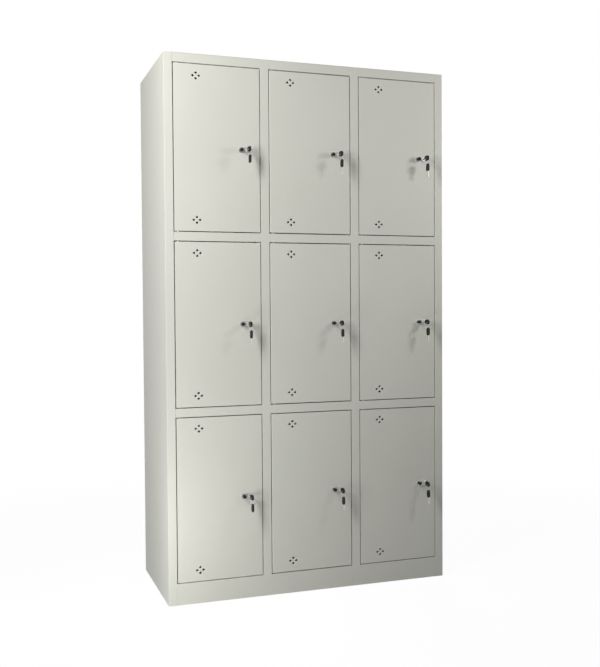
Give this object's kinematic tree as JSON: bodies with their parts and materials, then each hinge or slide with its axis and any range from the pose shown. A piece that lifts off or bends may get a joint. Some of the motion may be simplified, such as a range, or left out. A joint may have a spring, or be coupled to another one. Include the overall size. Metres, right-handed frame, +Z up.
{
  "type": "steel locker cabinet",
  "caption": "Upright painted steel locker cabinet with rows of vented doors on pivot hinges, each with a cam lock, its key and a spare key on a ring.",
  "frame": {"origin": "on the floor under the middle of the carcass", "axes": "+X to the right along the front, +Y to the back, +Z up; the doors face -Y"},
  "size_m": [1, 0.497, 1.8],
  "materials": {
    "painted_steel": "satin powder coat",
    "chrome": "polished",
    "zinc_steel": "zinc plated",
    "black_plastic": "moulded"
  },
  "bodies": {
    "carcass": {"side_left": "painted_steel", "side_right": "painted_steel", "back_panel": "painted_steel", "top_panel": "painted_steel", "keeper_right": "painted_steel", "mullion_left": "painted_steel", "mullion_right": "painted_steel", "partition_left": "painted_steel", "partition_right": "painted_steel", "top_rails": "painted_steel", "shelves_upper": "painted_steel", "shelves_lower": "painted_steel", "base_trays": "painted_steel", "base_stiffeners": "painted_steel", "hinge_pins": "zinc_steel"},
    "door_body_bottom_left": {"door_bottom_left": "painted_steel", "lock_bottom_left": "chrome"},
    "lock_body_bottom_left": {"cam_bottom_left": "zinc_steel", "key_bottom_left": "black_plastic"},
    "spare_body_bottom_left": {"spare_key_bottom_left": "black_plastic"},
    "door_body_bottom_centre": {"door_bottom_centre": "painted_steel", "lock_bottom_centre": "chrome"},
    "lock_body_bottom_centre": {"cam_bottom_centre": "zinc_steel", "key_bottom_centre": "black_plastic"},
    "spare_body_bottom_centre": {"spare_key_bottom_centre": "black_plastic"},
    "door_body_bottom_right": {"door_bottom_right": "painted_steel", "lock_bottom_right": "chrome"},
    "lock_body_bottom_right": {"cam_bottom_right": "zinc_steel", "key_bottom_right": "black_plastic"},
    "spare_body_bottom_right": {"spare_key_bottom_right": "black_plastic"},
    "door_body_middle_left": {"door_middle_left": "painted_steel", "lock_middle_left": "chrome"},
    "lock_body_middle_left": {"cam_middle_left": "zinc_steel", "key_middle_left": "black_plastic"},
    "spare_body_middle_left": {"spare_key_middle_left": "black_plastic"},
    "door_body_middle_centre": {"door_middle_centre": "painted_steel", "lock_middle_centre": "chrome"},
    "lock_body_middle_centre": {"cam_middle_centre": "zinc_steel", "key_middle_centre": "black_plastic"},
    "spare_body_middle_centre": {"spare_key_middle_centre": "black_plastic"},
    "door_body_middle_right": {"door_middle_right": "painted_steel", "lock_middle_right": "chrome"},
    "lock_body_middle_right": {"cam_middle_right": "zinc_steel", "key_middle_right": "black_plastic"},
    "spare_body_middle_right": {"spare_key_middle_right": "black_plastic"},
    "door_body_top_left": {"door_top_left": "painted_steel", "lock_top_left": "chrome"},
    "lock_body_top_left": {"cam_top_left": "zinc_steel", "key_top_left": "black_plastic"},
    "spare_body_top_left": {"spare_key_top_left": "black_plastic"},
    "door_body_top_centre": {"door_top_centre": "painted_steel", "lock_top_centre": "chrome"},
    "lock_body_top_centre": {"cam_top_centre": "zinc_steel", "key_top_centre": "black_plastic"},
    "spare_body_top_centre": {"spare_key_top_centre": "black_plastic"},
    "door_body_top_right": {"door_top_right": "painted_steel", "lock_top_right": "chrome"},
    "lock_body_top_right": {"cam_top_right": "zinc_steel", "key_top_right": "black_plastic"},
    "spare_body_top_right": {"spare_key_top_right": "black_plastic"}
  },
  "joints": [
    {"name": "door_hinge_bottom_left", "type": "hinge", "parent": "carcass", "child": "door_body_bottom_left", "pos_m": [-0.4565, -0.218, 0.344], "axis": [0, 0, -1], "range_deg": [0, 105]},
    {"name": "lock_turn_bottom_left", "type": "hinge", "parent": "door_body_bottom_left", "child": "lock_body_bottom_left", "pos_m": [-0.224, -0.225, 0.344], "axis": [0, -1, 0], "range_deg": [0, 90]},
    {"name": "spare_swing_bottom_left", "type": "hinge", "parent": "lock_body_bottom_left", "child": "spare_body_bottom_left", "pos_m": [-0.224, -0.2635, 0.3423], "axis": [-1, 0, 0], "range_deg": [-28, 60]},
    {"name": "door_hinge_bottom_centre", "type": "hinge", "parent": "carcass", "child": "door_body_bottom_centre", "pos_m": [-0.1325, -0.218, 0.344], "axis": [0, 0, -1], "range_deg": [0, 105]},
    {"name": "lock_turn_bottom_centre", "type": "hinge", "parent": "door_body_bottom_centre", "child": "lock_body_bottom_centre", "pos_m": [0.1, -0.225, 0.344], "axis": [0, -1, 0], "range_deg": [0, 90]},
    {"name": "spare_swing_bottom_centre", "type": "hinge", "parent": "lock_body_bottom_centre", "child": "spare_body_bottom_centre", "pos_m": [0.1, -0.2635, 0.3423], "axis": [-1, 0, 0], "range_deg": [-28, 60]},
    {"name": "door_hinge_bottom_right", "type": "hinge", "parent": "carcass", "child": "door_body_bottom_right", "pos_m": [0.1915, -0.218, 0.344], "axis": [0, 0, -1], "range_deg": [0, 105]},
    {"name": "lock_turn_bottom_right", "type": "hinge", "parent": "door_body_bottom_right", "child": "lock_body_bottom_right", "pos_m": [0.424, -0.225, 0.344], "axis": [0, -1, 0], "range_deg": [0, 90]},
    {"name": "spare_swing_bottom_right", "type": "hinge", "parent": "lock_body_bottom_right", "child": "spare_body_bottom_right", "pos_m": [0.424, -0.2635, 0.3423], "axis": [-1, 0, 0], "range_deg": [-28, 60]},
    {"name": "door_hinge_middle_left", "type": "hinge", "parent": "carcass", "child": "door_body_middle_left", "pos_m": [-0.4565, -0.218, 0.92], "axis": [0, 0, -1], "range_deg": [0, 105]},
    {"name": "lock_turn_middle_left", "type": "hinge", "parent": "door_body_middle_left", "child": "lock_body_middle_left", "pos_m": [-0.224, -0.225, 0.92], "axis": [0, -1, 0], "range_deg": [0, 90]},
    {"name": "spare_swing_middle_left", "type": "hinge", "parent": "lock_body_middle_left", "child": "spare_body_middle_left", "pos_m": [-0.224, -0.2635, 0.9183], "axis": [-1, 0, 0], "range_deg": [-28, 60]},
    {"name": "door_hinge_middle_centre", "type": "hinge", "parent": "carcass", "child": "door_body_middle_centre", "pos_m": [-0.1325, -0.218, 0.92], "axis": [0, 0, -1], "range_deg": [0, 105]},
    {"name": "lock_turn_middle_centre", "type": "hinge", "parent": "door_body_middle_centre", "child": "lock_body_middle_centre", "pos_m": [0.1, -0.225, 0.92], "axis": [0, -1, 0], "range_deg": [0, 90]},
    {"name": "spare_swing_middle_centre", "type": "hinge", "parent": "lock_body_middle_centre", "child": "spare_body_middle_centre", "pos_m": [0.1, -0.2635, 0.9183], "axis": [-1, 0, 0], "range_deg": [-28, 60]},
    {"name": "door_hinge_middle_right", "type": "hinge", "parent": "carcass", "child": "door_body_middle_right", "pos_m": [0.1915, -0.218, 0.92], "axis": [0, 0, -1], "range_deg": [0, 105]},
    {"name": "lock_turn_middle_right", "type": "hinge", "parent": "door_body_middle_right", "child": "lock_body_middle_right", "pos_m": [0.424, -0.225, 0.92], "axis": [0, -1, 0], "range_deg": [0, 90]},
    {"name": "spare_swing_middle_right", "type": "hinge", "parent": "lock_body_middle_right", "child": "spare_body_middle_right", "pos_m": [0.424, -0.2635, 0.9183], "axis": [-1, 0, 0], "range_deg": [-28, 60]},
    {"name": "door_hinge_top_left", "type": "hinge", "parent": "carcass", "child": "door_body_top_left", "pos_m": [-0.4565, -0.218, 1.496], "axis": [0, 0, -1], "range_deg": [0, 105]},
    {"name": "lock_turn_top_left", "type": "hinge", "parent": "door_body_top_left", "child": "lock_body_top_left", "pos_m": [-0.224, -0.225, 1.496], "axis": [0, -1, 0], "range_deg": [0, 90]},
    {"name": "spare_swing_top_left", "type": "hinge", "parent": "lock_body_top_left", "child": "spare_body_top_left", "pos_m": [-0.224, -0.2635, 1.4943], "axis": [-1, 0, 0], "range_deg": [-28, 60]},
    {"name": "door_hinge_top_centre", "type": "hinge", "parent": "carcass", "child": "door_body_top_centre", "pos_m": [-0.1325, -0.218, 1.496], "axis": [0, 0, -1], "range_deg": [0, 105]},
    {"name": "lock_turn_top_centre", "type": "hinge", "parent": "door_body_top_centre", "child": "lock_body_top_centre", "pos_m": [0.1, -0.225, 1.496], "axis": [0, -1, 0], "range_deg": [0, 90]},
    {"name": "spare_swing_top_centre", "type": "hinge", "parent": "lock_body_top_centre", "child": "spare_body_top_centre", "pos_m": [0.1, -0.2635, 1.4943], "axis": [-1, 0, 0], "range_deg": [-28, 60]},
    {"name": "door_hinge_top_right", "type": "hinge", "parent": "carcass", "child": "door_body_top_right", "pos_m": [0.1915, -0.218, 1.496], "axis": [0, 0, -1], "range_deg": [0, 105]},
    {"name": "lock_turn_top_right", "type": "hinge", "parent": "door_body_top_right", "child": "lock_body_top_right", "pos_m": [0.424, -0.225, 1.496], "axis": [0, -1, 0], "range_deg": [0, 90]},
    {"name": "spare_swing_top_right", "type": "hinge", "parent": "lock_body_top_right", "child": "spare_body_top_right", "pos_m": [0.424, -0.2635, 1.4943], "axis": [-1, 0, 0], "range_deg": [-28, 60]}
  ]
}
